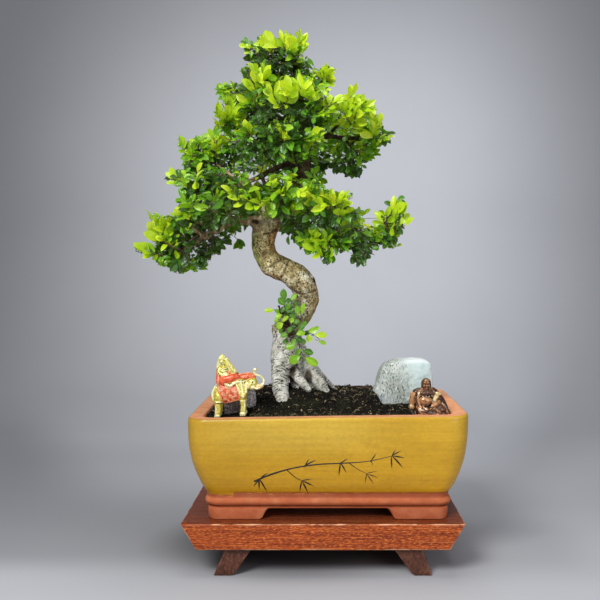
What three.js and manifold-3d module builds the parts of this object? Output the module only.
// A Chinese elm bonsai: S-curved trunk on surface roots, leaf sprays, planted in a
// rounded rectangular glazed pot with two stones and two small figurines, on a
// wooden stand with splayed runners.  Millimetres, +Z up, the viewer stands at -Y.
import * as THREE from 'three';
import { mergeVertices } from 'three/addons/utils/BufferGeometryUtils.js';
import Module from 'manifold-3d';

const wasm = await Module();
wasm.setup();

// ---------------------------------------------------------------- dimensions
const GAP = 0.3;                    // between touching pieces
// model point that becomes the origin: middle of the bounding box, on the ground
const ORIGIN_X = -49, ORIGIN_Y = 16;

// stand
const BOARD_TOP = 78, BOARD_BOTTOM = 40;
const BOARD_CX = -7.3, BOARD_TOP_HALF = 206.6, BOARD_BOTTOM_HALF = 183.6;
const BOARD_FRONT = -137.5, BOARD_BACK = 139;
const RUNNER_FRONT = -129, RUNNER_BACK = 127;
const DOWEL_R = 5, DOWEL_Z0 = 28, DOWEL_Z1 = 52;

// pot
const POT_Z0 = BOARD_TOP + GAP, POT_FOOT_TOP = 96, POT_FLOOR = 109, POT_RIM = 231;
const POT_DEPTH_LESS = 67.5;          // half depth = half width - this
const RIM_TILT = 0.0125;            // the hand-made rim rises towards +X
const POT_HALF = 206.5, WALL_SIDE = 22, WALL_FRONT = 21;
const DRAIN_R = 10, DRAIN_X = 85;

// soil
const SOIL_LOW = 226;

// eye point that the front-view layout below is drawn from
const EYE_X = -3, EYE_Z = 433, EYE_D = 1206, FOCAL = 741, PX0 = 326, PY0 = 278;

// ------------------------------------------------------------------- helpers
function rng(seed) {
  let a = seed >>> 0;
  return () => {
    a = (a + 0x6d2b79f5) >>> 0;
    let t = a;
    t = Math.imul(t ^ (t >>> 15), t | 1);
    t ^= t + Math.imul(t ^ (t >>> 7), t | 61);
    return ((t ^ (t >>> 14)) >>> 0) / 4294967296;
  };
}
const clamp01 = (t) => Math.min(1, Math.max(0, t));
const smooth = (t) => { const c = clamp01(t); return c * c * (3 - 2 * c); };
const V = (x, y, z) => new THREE.Vector3(x, y, z);
// a point of the front view, at depth y, in millimetres
const at = (px, py, y) => V((px - PX0) * (EYE_D + y) / FOCAL + EYE_X, y, EYE_Z - (py - PY0) * (EYE_D + y) / FOCAL);

function solid(geometry, matrix) {
  const g = geometry.clone();
  g.deleteAttribute('normal');
  g.deleteAttribute('uv');
  if (matrix) g.applyMatrix4(matrix);
  const m = mergeVertices(g, 1e-4);
  const index = m.index.array, keep = [];
  for (let i = 0; i < index.length; i += 3) {
    const [a, b, c] = [index[i], index[i + 1], index[i + 2]];
    if (a !== b && b !== c && a !== c) keep.push(a, b, c);
  }
  return new wasm.Manifold(new wasm.Mesh({
    numProp: 3,
    vertProperties: new Float32Array(m.attributes.position.array),
    triVerts: new Uint32Array(keep),
  }));
}
function largest(man) {
  const parts = man.decompose();
  parts.sort((a, b) => b.volume() - a.volume());
  return parts[0];
}
const placed = (p, r = [0, 0, 0], s = [1, 1, 1]) => new THREE.Matrix4().compose(
  V(...p), new THREE.Quaternion().setFromEuler(new THREE.Euler(...r)), V(...s));
const ball = (p, s, r = [0, 0, 0], w = 8, h = 6) => solid(new THREE.SphereGeometry(1, w, h), placed(p, r, s));
const block = (x0, x1, y0, y1, z0, z1) => solid(new THREE.BoxGeometry(x1 - x0, y1 - y0, z1 - z0),
  placed([(x0 + x1) / 2, (y0 + y1) / 2, (z0 + z1) / 2]));
// a round bar from a to b
function bar(a, b, ra, rb, sides = 8) {
  const d = b.clone().sub(a), q = new THREE.Quaternion().setFromUnitVectors(V(0, 1, 0), d.clone().normalize());
  return solid(new THREE.CylinderGeometry(rb, ra, d.length(), sides),
    new THREE.Matrix4().compose(a.clone().add(b).multiplyScalar(0.5), q, V(1, 1, 1)));
}
const union = (list) => list.reduce((a, b) => a.add(b));

// A tapering limb along a smooth curve: points [x, y, z, radius].
function limb(points, sides, step, extra = 0) {
  const p = points.map((q) => V(q[0], q[1], q[2])), r = points.map((q) => q[3] + extra);
  if (extra) {
    p[0].add(p[0].clone().sub(p[1]).normalize().multiplyScalar(extra));
    const n = p.length - 1;
    p[n].add(p[n].clone().sub(p[n - 1]).normalize().multiplyScalar(extra));
  }
  const curve = new THREE.CatmullRomCurve3(p, false, 'centripetal');
  const run = [0];
  for (let i = 1; i < p.length; i++) run.push(run[i - 1] + p[i].distanceTo(p[i - 1]));
  const length = run[run.length - 1];
  const steps = Math.max(2, Math.round(length / step));
  const radius = (f) => {
    const d = f * length;
    let i = 1;
    while (i < run.length - 1 && run[i] < d) i++;
    return r[i - 1] + (r[i] - r[i - 1]) * clamp01((d - run[i - 1]) / (run[i] - run[i - 1]));
  };
  const ring = new THREE.Shape();
  for (let i = 0; i < sides; i++) {
    const a = (i / sides) * 2 * Math.PI;
    if (i) ring.lineTo(Math.cos(a), Math.sin(a)); else ring.moveTo(1, 0);
  }
  const g = new THREE.ExtrudeGeometry(ring, { steps, extrudePath: curve, bevelEnabled: false, curveSegments: 1 });
  const stations = [];
  for (let s = 0; s <= steps; s++) stations.push([curve.getPointAt(s / steps), radius(s / steps)]);
  const pos = g.attributes.position, v = V(0, 0, 0);
  for (let i = 0; i < pos.count; i++) {
    v.fromBufferAttribute(pos, i);
    let best = null, gapTo = Infinity;
    for (const st of stations) {
      const near = v.distanceTo(st[0]);
      if (near < gapTo) { gapTo = near; best = st; }
    }
    v.sub(best[0]).multiplyScalar(best[1]).add(best[0]);
    pos.setXYZ(i, v.x, v.y, v.z);
  }
  return solid(g);
}

function rounded(hw, hd, r, seg) {
  const s = new THREE.Shape();
  s.moveTo(-hw + r, -hd);
  s.lineTo(hw - r, -hd); s.absarc(hw - r, -hd + r, r, -Math.PI / 2, 0, false);
  s.lineTo(hw, hd - r); s.absarc(hw - r, hd - r, r, 0, Math.PI / 2, false);
  s.lineTo(-hw + r, hd); s.absarc(-hw + r, hd - r, r, Math.PI / 2, Math.PI, false);
  s.lineTo(-hw, -hd + r); s.absarc(-hw + r, -hd + r, r, Math.PI, Math.PI * 1.5, false);
  return s;
}
// A body with a rounded rectangular section that changes with height:
// rings [z, halfWidth, halfDepth, cornerRadius].
function loft(rings, seg, tilt) {
  const steps = rings.length - 1;
  const g = new THREE.ExtrudeGeometry(rounded(200, 140, 30, seg), { depth: steps, steps, bevelEnabled: false, curveSegments: seg });
  const pos = g.attributes.position;
  for (let i = 0; i < pos.count; i++) {
    const x = pos.getX(i), y = pos.getY(i), ring = rings[Math.round(pos.getZ(i))];
    const cx = Math.sign(x) * Math.min(Math.abs(x), 170), cy = Math.sign(y) * Math.min(Math.abs(y), 110);
    const [z, hw, hd, r] = ring;
    const nx = cx * (hw - r) / 170 + (x - cx) * r / 30, ny = cy * (hd - r) / 110 + (y - cy) * r / 30;
    const lift = tilt * nx * smooth((z - 150) / 80);
    pos.setXYZ(i, nx, ny, z + lift);
  }
  return solid(g);
}

const group = new THREE.Group();
group.name = 'chinese_elm_bonsai';
group.position.set(-ORIGIN_X, -ORIGIN_Y, 0);
function show(name, man, material) {
  const mesh = man.getMesh();
  const g = new THREE.BufferGeometry();
  const p = new Float32Array((mesh.vertProperties.length / mesh.numProp) * 3);
  for (let i = 0; i < p.length / 3; i++) for (let k = 0; k < 3; k++) p[3 * i + k] = mesh.vertProperties[i * mesh.numProp + k];
  g.setAttribute('position', new THREE.BufferAttribute(p, 3));
  g.setIndex(new THREE.BufferAttribute(new Uint32Array(mesh.triVerts), 1));
  g.computeVertexNormals();
  const m = new THREE.Mesh(g, material);
  m.name = name;
  group.add(m);
}
const paint = (color, roughness, metalness = 0) => new THREE.MeshStandardMaterial({ color, roughness, metalness });
const WOOD_RED = paint(0x8e4a2f, 0.45), WOOD_DARK = paint(0x5a3c37, 0.5), PEG = paint(0xa8794c, 0.7);
const GLAZE = paint(0xc5a034, 0.25), PLASTIC = paint(0x2b2d2c, 0.6), PEAT = paint(0x211d16, 0.95);
const BARK = paint(0xb3ab98, 0.85), LEAF = paint(0x6fa51e, 0.4);
const STONE_PALE = paint(0xc3ccc5, 0.7), STONE_DARK = paint(0x5c5c60, 0.85);
const GOLD = paint(0xc9b354, 0.35, 0.5), BROWN = paint(0x6d3b22, 0.35);

// --------------------------------------------------------------------- stand
{
  const s = new THREE.Shape();
  const c = 2.5;
  s.moveTo(BOARD_CX - BOARD_BOTTOM_HALF + c, 0);
  s.lineTo(BOARD_CX + BOARD_BOTTOM_HALF - c, 0);
  s.lineTo(BOARD_CX + BOARD_BOTTOM_HALF + c * 0.6, c);
  s.lineTo(BOARD_CX + BOARD_TOP_HALF, BOARD_TOP - BOARD_BOTTOM);
  s.lineTo(BOARD_CX - BOARD_TOP_HALF, BOARD_TOP - BOARD_BOTTOM);
  s.lineTo(BOARD_CX - BOARD_BOTTOM_HALF - c * 0.6, c);
  s.closePath();
  const g = new THREE.ExtrudeGeometry(s, { depth: BOARD_BACK - BOARD_FRONT, bevelEnabled: false });
  // the section is drawn in x-z and runs along y
  let board = solid(g, new THREE.Matrix4().makeBasis(V(1, 0, 0), V(0, 0, 1), V(0, -1, 0)).setPosition(0, BOARD_BACK, BOARD_BOTTOM));
  // runner section corners, top edge first: [x, z]
  const zt = BOARD_BOTTOM - GAP;
  const sections = {
    stand_runner_left: [[-148.6, zt], [-166.8, 0], [-140.5, 0], [-133.4, 6], [-110.7, zt]],
    stand_runner_right: [[95.1, zt], [118.5, 7], [125.5, 0], [151.6, 0], [136.8, zt]],
  };
  const pegs = [[-132, -82], [-132, 80], [117.5, -82], [117.5, 80]];
  for (const [x, y] of pegs) board = board.subtract(bar(V(x, y, DOWEL_Z0), V(x, y, DOWEL_Z1 + GAP), DOWEL_R + GAP, DOWEL_R + GAP, 16));
  show('stand_top_board', board, WOOD_RED);
  for (const [name, corners] of Object.entries(sections)) {
    const shape = new THREE.Shape(corners.map(([x, z]) => new THREE.Vector2(x, z)));
    const gr = new THREE.ExtrudeGeometry(shape, { depth: RUNNER_BACK - RUNNER_FRONT, bevelEnabled: false });
    let r = solid(gr, new THREE.Matrix4().makeBasis(V(1, 0, 0), V(0, 0, 1), V(0, -1, 0)).setPosition(0, RUNNER_BACK, 0));
    for (const [x, y] of pegs) if ((x < 0) === name.endsWith('left')) r = r.subtract(bar(V(x, y, DOWEL_Z0 - GAP), V(x, y, DOWEL_Z1), DOWEL_R + GAP, DOWEL_R + GAP, 16));
    show(name, r, WOOD_DARK);
  }
  pegs.forEach(([x, y], i) => show(`stand_dowel_${i + 1}`, bar(V(x, y, DOWEL_Z0), V(x, y, DOWEL_Z1), DOWEL_R, DOWEL_R, 16), PEG));
}

// ----------------------------------------------------------------------- pot
const OUTER = [
  [95.5, 177.6], [96.8, 178], [98, 181.2], [100.2, 183], [102.6, 183.6], [105.2, 183.1], [107.4, 181.6], [109, 180.3],
  [115, 181], [118.4, 182.8], [123, 185.4], [137.5, 192], [151, 196.8], [165, 200.8], [188, 204.8], [211, 206.3], [228.5, POT_HALF], [POT_RIM, POT_HALF - 1.5],
].map(([z, hw]) => [z, hw, hw - POT_DEPTH_LESS, 30 - (POT_HALF - hw) * 0.4]);
const innerRing = (z, less = 0) => {
  const t = clamp01((z - POT_FLOOR) / (POT_RIM - POT_FLOOR));
  const hw = 162 + (POT_HALF - WALL_SIDE - 162) * Math.pow(t, 0.55), hd = 97 + (POT_HALF - POT_DEPTH_LESS - WALL_FRONT - 97) * Math.pow(t, 0.55);
  return [z, hw - less, hd - less, 14 - less];
};
const INNER_Z = [POT_FLOOR, 118, 140, 175, 205, POT_RIM - 3];
{
  let pot = loft(OUTER, 3, RIM_TILT);
  pot = pot.subtract(loft([...INNER_Z.map((z) => innerRing(z)), innerRing(POT_RIM + 12)], 2, 0));
  const feet = loft([[POT_Z0, 178.4, 115.4, 15.5], [80, 179.6, 116.6, 16], [90, 180.2, 117, 16], [96.4, 179.4, 116, 16]], 3, 0)
    .subtract(loft([[POT_Z0 - 2, 152, 84, 14], [98, 152, 84, 14]], 2, 0));
  // the openings between the feet have leaning ends
  const slot = (w0, w1, along) => {
    const s = new THREE.Shape([[-w0, 0], [w0, 0], [w1 - 2, 14], [w1 - 9, 18.5], [-w1 + 9, 18.5], [-w1 + 2, 14]].map(([x, z]) => new THREE.Vector2(x, z)));
    const g = new THREE.ExtrudeGeometry(s, { depth: 500, bevelEnabled: false });
    const m = along === 'y' ? new THREE.Matrix4().makeBasis(V(1, 0, 0), V(0, 0, 1), V(0, -1, 0)).setPosition(0, 250, POT_Z0 - 1)
      : new THREE.Matrix4().makeBasis(V(0, 1, 0), V(0, 0, 1), V(1, 0, 0)).setPosition(-250, 0, POT_Z0 - 1);
    return solid(g, m);
  };
  pot = pot.add(feet.subtract(slot(94, 92, 'y')).subtract(slot(52, 50, 'x')));
  for (const x of [-DRAIN_X, DRAIN_X]) pot = pot.subtract(bar(V(x, 0, 90), V(x, 0, POT_FLOOR + 4), DRAIN_R, DRAIN_R, 20));
  show('pot', largest(pot.simplify(0.12)), GLAZE);
  for (const [name, x] of [['drain_screen_left', -DRAIN_X], ['drain_screen_right', DRAIN_X]]) {
    let screen = block(x - 17, x + 17, -17, 17, POT_FLOOR + GAP, POT_FLOOR + GAP + 1.5);
    for (let i = -1; i <= 1; i++) for (let j = -1; j <= 1; j++) {
      screen = screen.subtract(block(x + i * 10 - 4, x + i * 10 + 4, j * 10 - 4, j * 10 + 4, POT_FLOOR, POT_FLOOR + 3));
    }
    show(name, screen, PLASTIC);
  }
}

// ---------------------------------------------------------------------- tree
// Front-view stations: [px, py, depth y, radius mm].
const limbPoints = (list) => list.map(([px, py, y, r]) => { const p = at(px, py, y); return [p.x, p.y, p.z, r]; });
const TRUNK = [
  [283.5, 366, 0, 20], [285.5, 350, 0, 23], [287.5, 335, -1, 22], [292, 322, -3, 21], [300.5, 311, -5, 20.5], [305.5, 299, -6, 20.5],
  [304.5, 287.5, -5, 20.5], [297.5, 277, -3, 20], [286, 270.5, 0, 19], [275, 265.5, 3, 18.8], [266.5, 256.5, 6, 18.5],
  [263.5, 245, 8, 18.6], [264.5, 234, 8, 20], [267.5, 223, 7, 21.5], [273, 212, 6, 20], [283, 201, 4, 17.5], [292.5, 191, 2, 15.5], [299.5, 179, 1, 14],
  [303, 165, 0, 12.5], [305, 145, 0, 10.5], [303.5, 122, 0, 8.5], [299.5, 95, -2, 6.5], [295.5, 72, -3, 4.5], [291.5, 52, -4, 2.4],
];
// roots leave the trunk and dive under the soil; the last station of each is buried
const ROOTS = {
  front: [[284.5, 352, -5, 16], [281, 366, -16, 15], [280, 380, -32, 13.6], [281, 392, -46, 12.2], [282.5, 402, -56, 10.8], [284, 413, -62, 9]],
  right: [[291, 343, 0, 15], [298, 354, -2, 12.5], [306, 365.5, -4, 11], [314.5, 377, -8, 9.8], [321, 386, -12, 8.5], [328, 396, -14, 6]],
  middle: [[287, 357, -8, 10], [292, 369, -22, 7.6], [298, 378, -29, 6.6], [305, 386, -35, 5.8], [313, 395, -38, 4.2]],
  back_right: [[298, 347, 12, 7], [309, 360, 16, 4.8], [319, 371.5, 20, 4], [328, 381.5, 23, 3.4], [338, 392, 25, 2.8]],
  back: [[284, 350, 10, 15], [282, 366, 24, 13], [278, 378, 40, 10], [272, 388, 56, 7], [266, 396, 66, 4]],
  back_left: [[283, 354, 8, 12], [279, 368, 26, 9], [273, 378, 44, 6.6], [266, 386, 60, 4.6], [259, 392, 72, 3.2]],
};
const BRANCHES = {
  B1: [[268, 224, 5, 12], [259, 222, 0, 9.8], [250, 221, -3, 7.6], [234, 220.5, -8, 6.6], [218, 228.5, -14, 6], [207, 235.6, -18, 5.4], [196, 243, -20, 4.4], [184, 249, -18, 3], [174, 250, -15, 2]],
  B1a: [[236, 221, -8, 4.2], [222, 213, -30, 3], [212, 211, -46, 2]],
  B1b: [[219, 229, -13, 4.2], [206, 224, 18, 3.4], [195, 222, 46, 2.1]],
  B1c: [[208, 236, -18, 4], [192, 230, -16, 3], [178, 227, -12, 2]],
  B2: [[302, 168, 0, 8], [294, 165, -8, 6.8], [284, 165, -16, 6], [270, 171.5, -24, 5.4], [256, 178.5, -31, 4.8], [240, 184.5, -36, 4], [226, 187, -38, 3], [214, 187, -36, 2.1]],
  B2a: [[262, 176, -29, 3.6], [264, 182, -52, 2.8], [268, 186, -76, 1.9]],
  B2b: [[242, 184, -35, 3.4], [228, 173, -18, 2.6], [214, 163, 0, 1.9]],
  B3: [[277, 213, 4, 9], [290, 212.5, -8, 6.6], [303, 211, -20, 5.8], [321, 210, -30, 5], [336, 216, -32, 4.4], [350, 228, -28, 3.7], [364, 236, -20, 3], [377, 234, -12, 2]],
  B3a: [[316, 210, -28, 3.6], [326, 207, -50, 2.7], [334, 204, -70, 1.9]],
  B3b: [[340, 219, -31, 3.2], [338, 230, -44, 2.4], [332, 238, -54, 1.8]],
  B3c: [[300, 211, -18, 4], [312, 211, 18, 3], [325, 212, 50, 2]],
  B4: [[304.6, 143, 0, 7], [314, 139.5, -6, 5.2], [328, 136, -12, 4.3], [342, 138, -12, 3.5], [356, 138, -6, 2.6], [366, 135, -2, 1.9]],
  B4a: [[328, 136, -12, 3.2], [338, 125, -28, 2.4], [346, 116, -40, 1.8]],
  B4b: [[344, 138, -11, 2.8], [351, 147, 14, 2.2], [357, 153, 36, 1.7]],
  B5: [[303.4, 121, 0, 6], [292, 121, -8, 4.8], [276, 121, -20, 4], [260, 120, -28, 3.2], [246, 119, -30, 2.4], [236, 118, -28, 1.8]],
  B5a: [[280, 121, -17, 3], [275, 128, -44, 2.4], [274, 134, -66, 1.7]],
  B5b: [[262, 120, -27, 2.6], [248, 130, -10, 2.1], [236, 139, 6, 1.6]],
  B6: [[304, 158, 4, 7.5], [301, 156, 34, 5.4], [296, 155, 66, 3.8], [290, 156, 94, 2.1]],
  B7: [[302.5, 117, 3, 5], [308, 112, 30, 3.6], [315, 109, 56, 1.9]],
  B8: [[301.5, 108, -4, 4.6], [299, 103, -30, 3.2], [299, 101, -56, 1.8]],
  B9: [[269, 222, 10, 10], [262, 214, 40, 6.4], [252, 206, 72, 4], [243, 202, 98, 2.1]],
  B10: [[298.5, 94, -3, 4.4], [284, 91, -18, 3], [270, 89, -30, 1.8]],
  B11: [[297, 81, -3, 3.6], [307, 76, -12, 2.4], [314, 73, -18, 1.5]],
  B12: [[303, 112, 2, 4.6], [292, 106, 34, 3.2], [280, 102, 62, 1.8]],
};
const limbs = [];
for (const v of Object.values(ROOTS)) limbs.push(limb(limbPoints(v), 6, 20));
for (const v of Object.values(BRANCHES)) limbs.push(limb(limbPoints(v), v[0][3] > 6.5 ? 5 : 4, v[0][3] > 6.5 ? 24 : 40));
limbs.push(limb(limbPoints(TRUNK), 10, 16));
const wood = largest(union(limbs).simplify(0.35));
show('tree_wood', wood, BARK);

// ---------------------------------------------------------- stones, figurines
// A rounded boulder: the sphere's points pushed out towards a box, then worn unevenly.
function boulder(centre, size, box, lean, seed) {
  const g = new THREE.IcosahedronGeometry(1, 2);
  const pos = g.attributes.position, v = V(0, 0, 0);
  for (let i = 0; i < pos.count; i++) {
    v.fromBufferAttribute(pos, i);
    const k = Math.pow(Math.pow(Math.abs(v.x), box) + Math.pow(Math.abs(v.y), box) + Math.pow(Math.abs(v.z), box), -1 / box);
    const wear = 1 + 0.035 * Math.sin(5 * v.x + seed) + 0.03 * Math.sin(6 * v.z + 2 * seed) + 0.025 * Math.sin(7 * v.y - seed);
    v.multiplyScalar(k * wear);
    pos.setXYZ(i, v.x * size[0] + lean * v.z * size[2], v.y * size[1], v.z * size[2]);
  }
  g.translate(...centre);
  return g;
}
const paleStone = solid(boulder([127.5, 4, 261], [43.6, 26, 41], 4.2, 0.03, 1.3));
const paleStoneRoom = solid(boulder([127.5, 4, 261], [44.2, 26.6, 41.7], 4.2, 0.03, 1.3));
const darkStone = solid(boulder([-135, -64, 238], [24.6, 12, 23.5], 7, 0, 4.1));
const darkStoneRoom = solid(boulder([-135, -64, 238], [25.1, 12.5, 24.2], 7, 0, 4.1));
show('pale_stone', paleStone, STONE_PALE);
show('dark_stone', darkStone, STONE_DARK);

// An elephant facing +X with a rider, cloths and a raised, curled trunk.  x, z are
// measured in the front view; y = 0 is its middle.
const ELEPHANT = [-137, -97];
{
  const [ex, ey] = ELEPHANT, P = (x, y, z) => V(x, ey + y, z);
  const pieces = [
    ball([-146, ey, 262], [25, 12.5, 16], [0, 0.12, 0], 9, 6),
    ball([-160, ey, 258], [14, 12, 15]),
    bar(P(-164, -6, 224), P(-163, -5.5, 256), 5.6, 7, 8), bar(P(-161, 6.5, 224), P(-160, 5.5, 256), 5.6, 7, 8),
    bar(P(-126.5, -6, 224.5), P(-128, -5, 262), 5, 6.4, 8), bar(P(-131, 6.5, 224.5), P(-131, 5.5, 262), 5, 6.4, 8),
    ball([-113, ey, 277], [11, 9.5, 11.5]),
    ball([-121, ey, 273], [11, 9, 11]),
    ball([-119, ey - 9, 276], [6, 2.2, 9], [0.15, 0, 0.2], 8, 6), ball([-119, ey + 9, 276], [6, 2.2, 9], [-0.15, 0, -0.2], 8, 6),
    limb([[-106, ey, 272, 6], [-102, ey, 267, 4.8], [-97.6, ey, 269, 4], [-95.3, ey, 277, 3.3], [-98.5, ey, 285.5, 2.8], [-105.5, ey, 289.5, 2.5], [-108, ey, 298, 2]], 6, 8),
    ball([-146, ey, 266], [14.5, 14, 14.6], [0, 0.12, 0], 8, 6),
    ball([-146, ey, 281], [20, 12.5, 7], [0, 0.1, 0], 8, 6),
    ball([-159, ey - 1, 292], [9.5, 8.5, 12], [0, 0, 0], 9, 6),
    ball([-159, ey - 2, 307], [5.2, 5, 5.8], [0, 0, 0], 9, 6),
    bar(P(-159, -2, 310), P(-159, -1, 319), 4, 1, 8),
    ball([-152, ey - 5, 284], [14, 7, 5], [0, 0.15, 0], 10, 6),
    bar(P(-153, -4, 296), P(-141, -5, 291), 3, 2.2, 6), bar(P(-165, -4, 296), P(-160, -9, 286), 3, 2.2, 6),
    bar(P(-150, 2, 306), P(-134, 0, 286), 3.6, 3.2, 6),
    ball([-131, ey, 270], [9, 11, 12], [0, 0, 0], 8, 6),
    bar(P(-172, 0, 262), P(-175, 0, 246), 1.8, 1.3, 4),
  ];
  const body = union(pieces).trimByPlane([0, 0, 1], 224.6);
  show('elephant_figurine', largest(body.simplify(0.7)), GOLD);
}
// A plump seated figure with an open robe, facing the viewer.
const SEATED = [148, -96];
{
  const [sx, sy] = SEATED;
  const pieces = [
    ball([sx - 1.5, sy, 236], [25, 15.5, 11], [0, 0, 0], 8, 5),
    ball([sx - 16, sy - 7, 233.5], [12, 9, 7], [0, 0, 0], 8, 5), ball([sx + 12, sy - 7, 233.5], [12, 9, 7], [0, 0, 0], 8, 5),
    ball([sx - 3.5, sy - 3, 252], [13, 12, 11.5], [0, 0, 0], 8, 6),
    ball([sx - 2, sy + 1, 261], [14, 9.5, 8.5], [0, 0, 0], 8, 6),
    ball([sx, sy - 1, 276], [7.6, 7.6, 8.4], [0, 0, 0], 9, 7),
    bar(V(sx, sy, 263), V(sx, sy, 272), 6, 5.5, 8),
    ball([sx - 21, sy - 5, 251], [6.4, 6.5, 9], [0, 0, 0], 8, 6), ball([sx - 22, sy - 6, 261], [4.6, 4.6, 5], [0, 0, 0], 8, 6),
    bar(V(sx - 12, sy, 262), V(sx - 20, sy - 4, 250), 5, 4.4, 7),
    ball([sx + 15.5, sy - 1, 257], [6, 6.5, 8.5], [0, -0.35, 0], 10, 7),
    bar(V(sx + 10, sy, 256), V(sx + 28, sy, 233), 11, 4.2, 8),
    ball([sx + 22, sy, 233], [10, 11, 6.5], [0, 0, 0], 8, 5),
  ];
  const body = union(pieces).trimByPlane([0, 0, 1], 226.6).intersect(block(90, 180.6, -116, -60, 200, 300));
  show('seated_figurine', largest(body.simplify(0.7)), BROWN);
}

// ---------------------------------------------------------------------- soil
const soilHeight = (x, y) => {
  const front = smooth((y + 106) / 66), back = 1 - smooth((y - 62) / 48);
  const left = smooth((x + 156) / 46), right = 1 - smooth((x - 73) / 15);
  const mound = 23 * front * back * left * right;
  const collar = 11 * Math.exp(-((x + 62) ** 2 + (y - 4) ** 2) / (2 * 36 ** 2));
  const rightBed = 6.5 * smooth((y + 108) / 84) * smooth((x - 70) / 20) * (1 - smooth((y - 70) / 40));
  const crumbs = 0.8 * Math.sin(x * 0.21 + y * 0.13) + 0.7 * Math.sin(y * 0.27 - x * 0.08);
  return SOIL_LOW + mound + collar + rightBed + crumbs * smooth((y + 112) / 20);
};
{
  const x0 = -188, x1 = 188, y0 = -121, y1 = 121, nx = 17, ny = 12;
  const g = new THREE.BoxGeometry(x1 - x0, y1 - y0, 200, nx, ny, 1);
  g.translate((x0 + x1) / 2, (y0 + y1) / 2, 0);
  const pos = g.attributes.position;
  for (let i = 0; i < pos.count; i++) {
    if (pos.getZ(i) > 0) pos.setZ(i, soilHeight(pos.getX(i), pos.getY(i)));
    else pos.setZ(i, 60);
  }
  const fill = loft([[POT_FLOOR + GAP, ...innerRing(POT_FLOOR, GAP).slice(1)], ...INNER_Z.slice(1).map((z) => innerRing(z, GAP)), innerRing(POT_RIM + 40, GAP)], 2, 0);
  let soil = solid(g).intersect(fill);
  const room = Object.values(ROOTS).map((v) => limb(limbPoints(v), 6, 20, GAP + 0.2));
  soil = soil.subtract(union(room)).subtract(paleStoneRoom).subtract(darkStoneRoom);
  for (const x of [-DRAIN_X, DRAIN_X]) soil = soil.subtract(block(x - 17.4, x + 17.4, -17.4, 17.4, 100, POT_FLOOR + 2.2));
  // shallow beds under the two figurines
  soil = soil.subtract(block(-171.5, -118, -112, -82, 224.2, 260));
  soil = soil.subtract(block(112, 184, -118, -77, 226.2, 260));
  show('soil', largest(soil.simplify(0.25)), PEAT);
}

// --------------------------------------------------------------- leaf sprays
// Each spray: the branch it sits on, the middle of its pad [px, py, y] and its
// half sizes [x, y, z] in mm, and how many shoots it has.
const SPRAYS = {
  leaves_apex: ['TRUNK', [282, 52, -4], [42, 40, 31], 6],
  leaves_apex_right: ['B11', [323, 75, -26], [26, 30, 18], 5],
  leaves_upper_front: ['B8', [300, 98, -84], [62, 34, 27], 6],
  leaves_upper_left: ['B10', [256, 86, -44], [36, 34, 27], 5],
  leaves_upper_back_left: ['B12', [268, 98, 84], [58, 42, 34], 5],
  leaves_upper_back_right: ['B7', [325, 105, 78], [56, 42, 34], 5],
  leaves_left_shoulder: ['B5', [223, 114, -26], [34, 38, 28], 5],
  leaves_left_shoulder_low: ['B5b', [222, 146, 14], [42, 36, 22], 5],
  leaves_middle_front: ['B5a', [276, 139, -98], [64, 34, 24], 6],
  leaves_right_shoulder: ['B4a', [349, 104, -50], [38, 40, 27], 5],
  leaves_right_upper: ['B4', [378, 128, 0], [38, 46, 36], 6],
  leaves_right_upper_low: ['B4b', [360, 158, 50], [40, 38, 24], 5],
  leaves_back: ['B6', [289, 152, 128], [76, 44, 46], 6],
  leaves_left: ['B2b', [191, 155, 8], [42, 44, 32], 6],
  leaves_left_low: ['B2', [197, 184, -42], [42, 38, 20], 5],
  leaves_centre_front: ['B2a', [270, 190, -106], [62, 34, 24], 6],
  leaves_low_left_front: ['B1a', [205, 209, -74], [50, 34, 22], 5],
  leaves_low_left_tip: ['B1', [162, 248, -14], [38, 42, 24], 5],
  leaves_low_left_crown: ['B1c', [164, 224, -10], [38, 40, 22], 5],
  leaves_low_left_back: ['B1b', [186, 218, 76], [54, 40, 30], 5],
  leaves_low_back: ['B9', [236, 200, 126], [66, 42, 36], 6],
  leaves_low_right_front: ['B3a', [335, 203, -96], [48, 32, 24], 5],
  leaves_low_right_hang: ['B3b', [328, 246, -64], [44, 30, 20], 5],
  leaves_low_right_tip: ['B3', [394, 222, -6], [34, 44, 36], 6],
  leaves_low_right_back: ['B3c', [342, 213, 84], [62, 42, 30], 6],
};
const settled = [];
const record = (man) => settled.push({ man, box: man.boundingBox() });
for (const l of limbs) record(l);
record(paleStone);
const clear = (man, gap) => {
  const b = man.boundingBox();
  for (const o of settled) {
    let apart = false;
    for (let k = 0; k < 3; k++) if (b.min[k] > o.box.max[k] + gap || b.max[k] < o.box.min[k] - gap) apart = true;
    if (!apart && man.minGap(o.man, gap * 2) < gap) return false;
  }
  return true;
};
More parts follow.
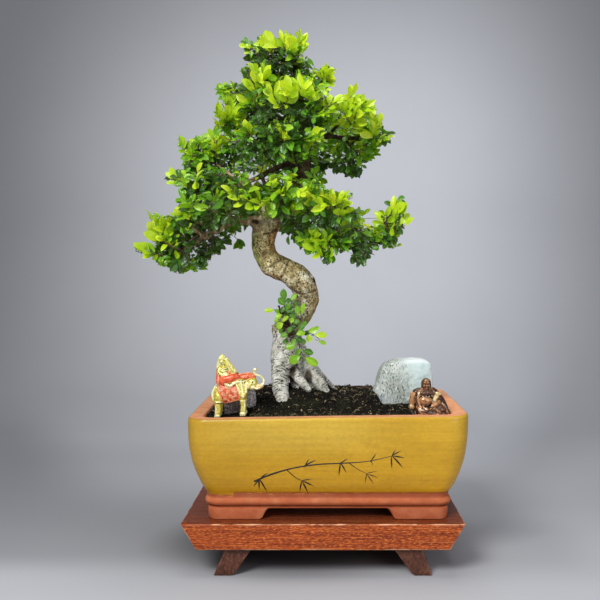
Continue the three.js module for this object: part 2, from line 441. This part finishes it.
// a rosette of pointed leaves round p: a thin cupped star that faces along d
function rosette(p, d, blades, reach, turn) {
  const g = new THREE.CylinderGeometry(1, 1, 2, 2 * blades, 1).toNonIndexed();
  const pos = g.attributes.position, v = V(0, 0, 0);
  const z = d.clone().normalize(), x = new THREE.Vector3().crossVectors(Math.abs(z.z) < 0.9 ? V(0, 0, 1) : V(1, 0, 0), z).normalize();
  const y = new THREE.Vector3().crossVectors(z, x);
  for (let i = 0; i < pos.count; i++) {
    v.fromBufferAttribute(pos, i);
    const side = v.y, r = Math.hypot(v.x, v.z), k = Math.round((Math.atan2(v.x, v.z) / (2 * Math.PI)) * 2 * blades + 4 * blades) % 2;
    const a = Math.atan2(v.x, v.z) + turn;
    // rim points: both faces meet in one edge; tips reach out, notches stay in
    const out = r < 0.5 ? 0 : (k === 0 ? reach : reach * 0.42), lift = r < 0.5 ? side * 1.0 : (k === 0 ? reach * 0.34 : reach * 0.1);
    v.copy(p).addScaledVector(x, Math.cos(a) * out).addScaledVector(y, Math.sin(a) * out).addScaledVector(z, lift);
    pos.setXYZ(i, v.x, v.y, v.z);
  }
  return solid(g);
}
function spray(name, start, heading, centre, size, shoots, seed) {
  const random = rng(seed);
  const hubOf = (root) => root.clone().lerp(centre, 0.8);
  let root = start.clone(), stem, t = GAP + 0.1;
  do {
    root = start.clone().addScaledVector(heading, t);
    stem = bar(root, hubOf(root), 1.8, 1.3, 4);
    t += 0.2;
  } while (t < 6 && !clear(stem, 0.27));
  if (t >= 6) console.error(`# ${name}: stem touches`);
  const hub = hubOf(root), own = [stem], stars = [];
  const turn = random() * 6.28;
  for (let i = 0; i < shoots; i++) {
    const h = 1 - 2 * (i + 0.5) / shoots, a = turn + i * 2.39996, w = Math.sqrt(1 - h * h);
    const dir = V(Math.cos(a) * w, Math.sin(a) * w, h);
    const reach = 23 + 5 * random(), full = 0.8 + 0.12 * random();
    const tip = centre.clone().add(V(dir.x * (size[0] - reach * 0.55) * full, dir.y * (size[1] - reach * 0.55) * full, dir.z * (size[2] - 6) * full));
    const foot = root.clone().lerp(hub, 0.45 + 0.53 * ((i * 0.618) % 1));
    for (const k of [1, 0.82, 0.64, 0.46]) {
      const end = foot.clone().lerp(tip, k), out = end.clone().sub(foot).normalize();
      const twig = bar(foot, end.clone().addScaledVector(out, 0.2), 1.1, 0.9, 3);
      const face = out.clone().multiplyScalar(0.7).add(V(0, 0, 0.9)).add(V(dir.x, dir.y, 0).multiplyScalar(0.35)).normalize();
      const star = rosette(end, face, 4, reach, random() * 6.28);
      if (stars.some((o) => o.minGap(star, 1) < 0.5) || !clear(star, 0.45) || !clear(twig, 0.45)) continue;
      stars.push(star);
      own.push(twig.add(star));
      break;
    }
  }
  const whole = largest(union(own).simplify(0.2));
  record(whole);
  show(name, whole, LEAF);
}
let seed = 11;
for (const [name, [from, middle, size, shoots]] of Object.entries(SPRAYS)) {
  const line = limbPoints(from === 'TRUNK' ? TRUNK : BRANCHES[from]);
  const n = line.length - 1, e = V(...line[n].slice(0, 3)), d = e.clone().sub(V(...line[n - 1].slice(0, 3))).normalize();
  spray(name, e, d, at(...middle), size, shoots, seed++);
}
// two tufts that sprout from the lower trunk
for (const [name, p0, p1, middle, size, shoots] of [
  ['leaves_trunk_left', [292, 322, -3], [284, 318, -32], [283, 311, -42], [22, 14, 24], 6],
  ['leaves_trunk_right', [292, 335, -3], [301, 338, -30], [309, 341, -38], [26, 14, 24], 6],
]) {
  const a = at(...p0), b = at(...p1), d = b.clone().sub(a).normalize();
  let t = 10;
  while (t < 60 && !clear(bar(a.clone().add(d.clone().multiplyScalar(t)), a.clone().add(d.clone().multiplyScalar(t + 4)), 1.8, 1.8, 5), 0.3)) t += 0.5;
  spray(name, a.clone().add(d.clone().multiplyScalar(t)), d, at(...middle), size, shoots, seed++);
}

export default group;
